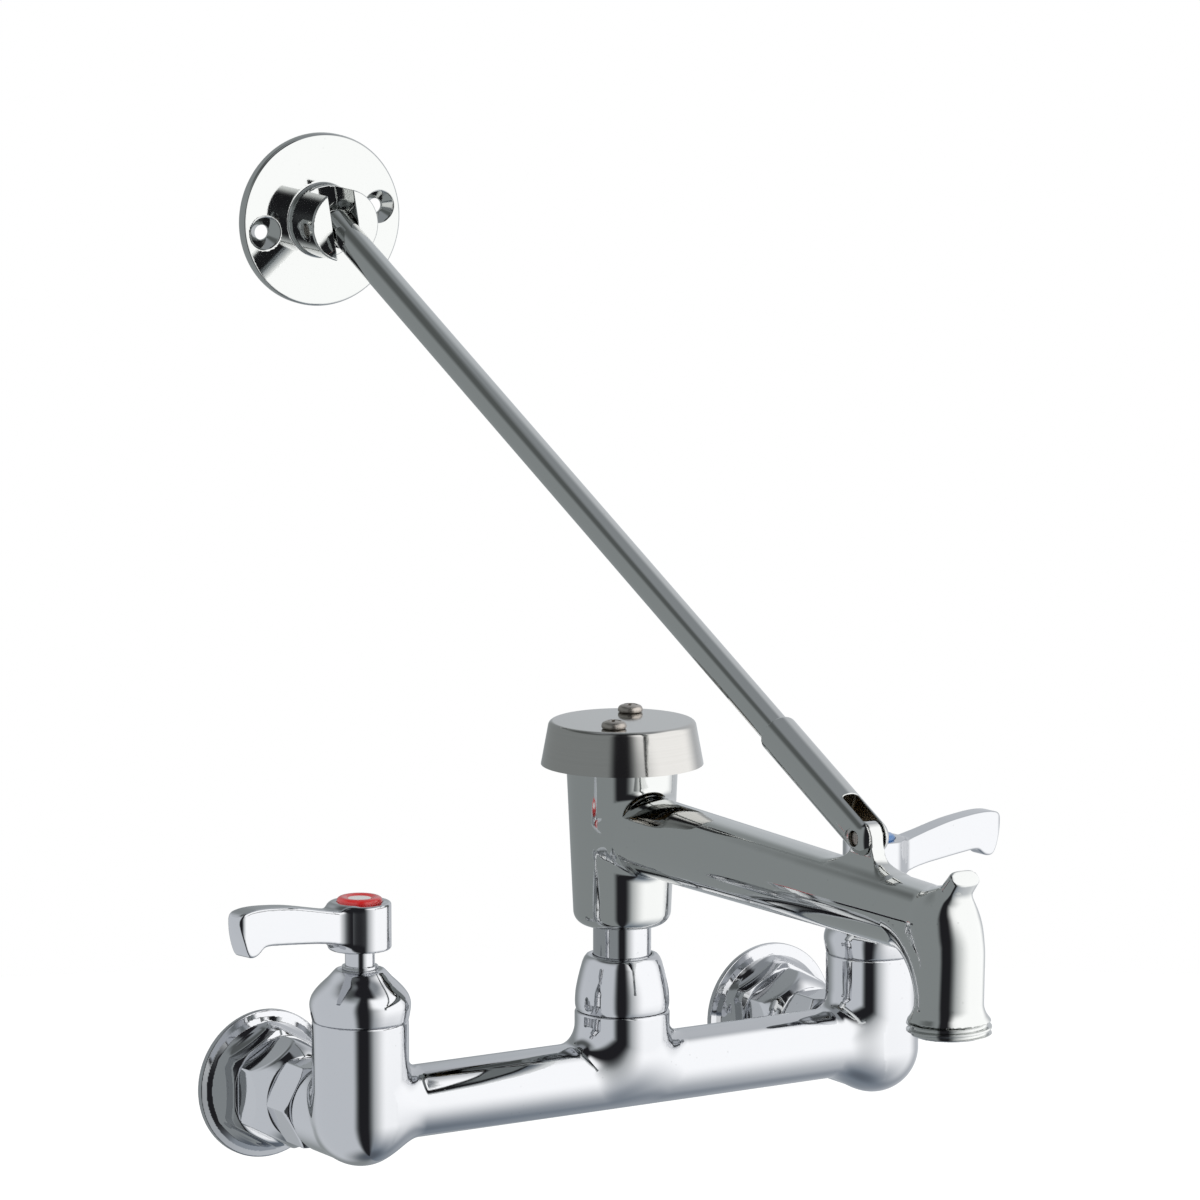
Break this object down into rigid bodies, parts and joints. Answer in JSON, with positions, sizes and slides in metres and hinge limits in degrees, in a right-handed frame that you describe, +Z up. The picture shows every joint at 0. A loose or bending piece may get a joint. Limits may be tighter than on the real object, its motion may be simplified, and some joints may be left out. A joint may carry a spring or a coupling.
{
  "type": "wall-mounted service faucet",
  "caption": "Wall-mounted service sink faucet: lever valves on a cast bar, swinging spout with vacuum breaker, pail hook and hose outlet, and an upper wall brace.",
  "frame": {"origin": "on the wall plane, midway between the centres of the two supply inlets", "axes": "+X along the wall from the hot inlet to the cold inlet, +Y into the wall, +Z up"},
  "size_m": [0.3133, 0.4138, 0.3301],
  "materials": {
    "polished_chrome": "polished chrome plate",
    "satin_cap": "satin nickel-coloured stainless steel",
    "screw_steel": "bright steel, slightly warm",
    "plain_brass": "machined brass",
    "white_ceramic": "lapped ceramic, glossy",
    "black_rubber": "moulded rubber",
    "float_plastic": "moulded plastic",
    "red_index": "glossy red button",
    "blue_index": "glossy blue button"
  },
  "bodies": {
    "valve_body": {"body_casting": "polished_chrome", "hot_wall_disc": "polished_chrome", "cold_wall_disc": "polished_chrome", "hot_fitting": "polished_chrome", "cold_fitting": "polished_chrome", "hot_union_nut": "polished_chrome", "cold_union_nut": "polished_chrome", "union_washers": "black_rubber", "split_rings": "plain_brass", "hot_bonnet": "polished_chrome", "cold_bonnet": "polished_chrome", "hot_shell": "plain_brass", "cold_shell": "plain_brass", "fixed_discs": "white_ceramic", "seat_seals": "black_rubber", "collar_nut": "polished_chrome"},
    "hot_handle": {"hot_stem": "plain_brass", "hot_turning_disc": "white_ceramic", "hot_lever": "polished_chrome", "hot_lever_screw": "screw_steel", "hot_index": "red_index"},
    "cold_handle": {"cold_stem": "plain_brass", "cold_turning_disc": "white_ceramic", "cold_lever": "polished_chrome", "cold_lever_screw": "screw_steel", "cold_index": "blue_index"},
    "spout": {"riser_tube": "polished_chrome", "riser_seals": "black_rubber", "riser_ring": "plain_brass", "spout_casting": "polished_chrome", "vent_gasket": "black_rubber", "vent_plate": "plain_brass", "breaker_cap": "satin_cap", "cap_screws": "screw_steel"},
    "float_body": {"float": "float_plastic", "float_seals": "black_rubber"},
    "brace_fork": {"brace_sleeve": "polished_chrome", "sleeve_pin": "screw_steel"},
    "brace_bar": {"brace_rod": "polished_chrome"},
    "wall_bracket": {"brace_flange": "polished_chrome", "flange_pin": "screw_steel"}
  },
  "joints": [
    {"name": "hot_valve_turn", "type": "hinge", "parent": "valve_body", "child": "hot_handle", "pos_m": [-0.1016, -0.0656, 0.0656], "axis": [0, 0, 1], "range_deg": [0, 90]},
    {"name": "cold_valve_turn", "type": "hinge", "parent": "valve_body", "child": "cold_handle", "pos_m": [0.1016, -0.0656, 0.0656], "axis": [0, 0, 1], "range_deg": [-90, 0]},
    {"name": "spout_swing", "type": "hinge", "parent": "valve_body", "child": "spout", "pos_m": [0, -0.0656, 0.045], "axis": [0, 0, 1], "range_deg": [-50, 50]},
    {"name": "float_lift", "type": "slide", "parent": "spout", "child": "float_body", "axis": [0, 0, 1], "range_m": [0, 0.005]},
    {"name": "brace_tilt", "type": "hinge", "parent": "spout", "child": "brace_fork", "pos_m": [0, -0.212, 0.1087], "axis": [1, 0, 0], "range_deg": [-12, 60]},
    {"name": "brace_rod_turn", "type": "hinge", "parent": "brace_fork", "child": "brace_bar", "pos_m": [0, -0.17611, 0.12636], "axis": [0, 0.8973, 0.4415], "range_deg": [-90, 90]},
    {"name": "wall_flange_tilt", "type": "hinge", "parent": "brace_bar", "child": "wall_bracket", "pos_m": [0, 0.12357, 0.27382], "axis": [0.9833, -0.0805, 0.1635], "range_deg": [-50, 50]}
  ]
}
